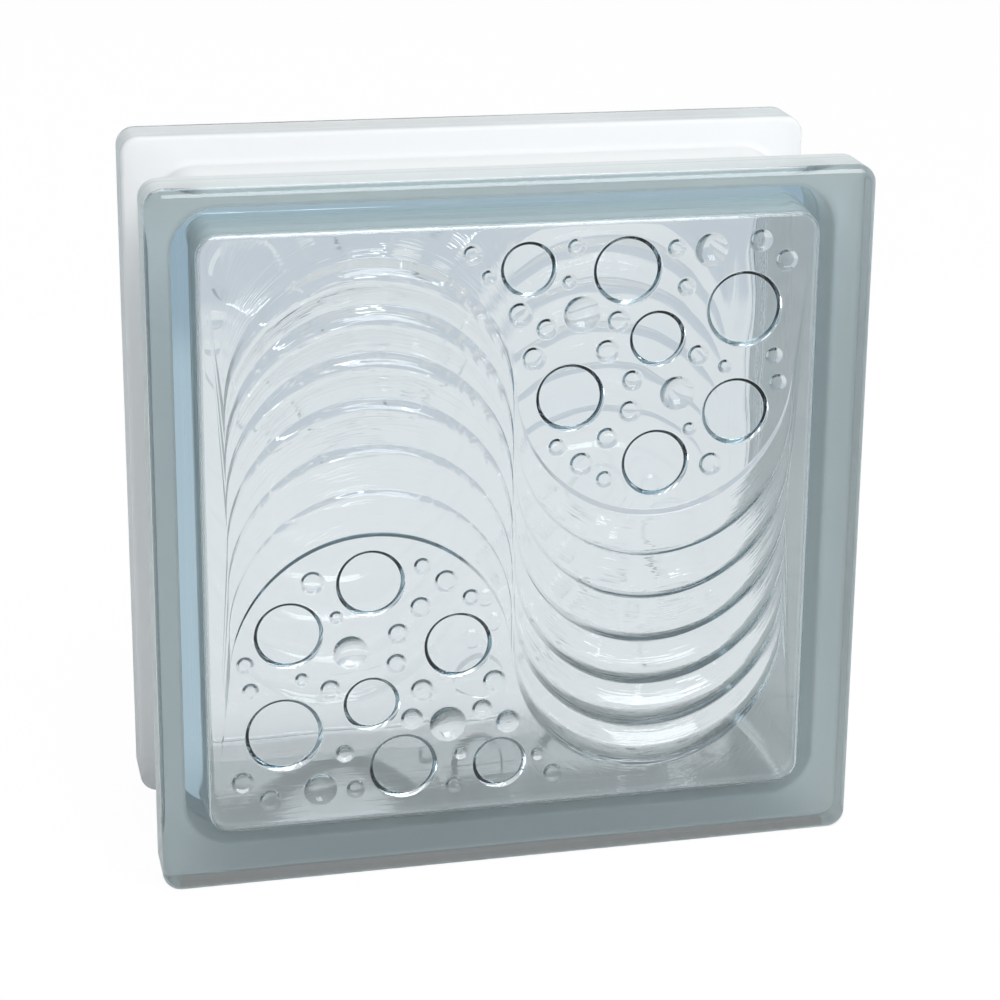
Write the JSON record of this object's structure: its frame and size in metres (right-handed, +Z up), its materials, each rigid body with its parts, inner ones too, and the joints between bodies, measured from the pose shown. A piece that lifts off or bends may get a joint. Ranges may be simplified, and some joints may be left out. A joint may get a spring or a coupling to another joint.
{
  "type": "glass block",
  "caption": "Hollow square glass building block of pressed trays fused at mid depth, with a mortar groove round its edge and a ripple and bubble relief inside.",
  "frame": {"origin": "middle of the block's footprint, on the floor that its bottom rims stand on", "axes": "+Z up, +Y from the front face through the block to the back face, +X to the right seen from the front"},
  "size_m": [0.19, 0.08, 0.19],
  "materials": {
    "pressed_glass": "clear fire-polished pressed glass with a faint blue-green grey tint"
  },
  "bodies": {
    "root": {"front_half_shell": "pressed_glass", "back_half_shell": "pressed_glass"}
  },
  "joints": []
}
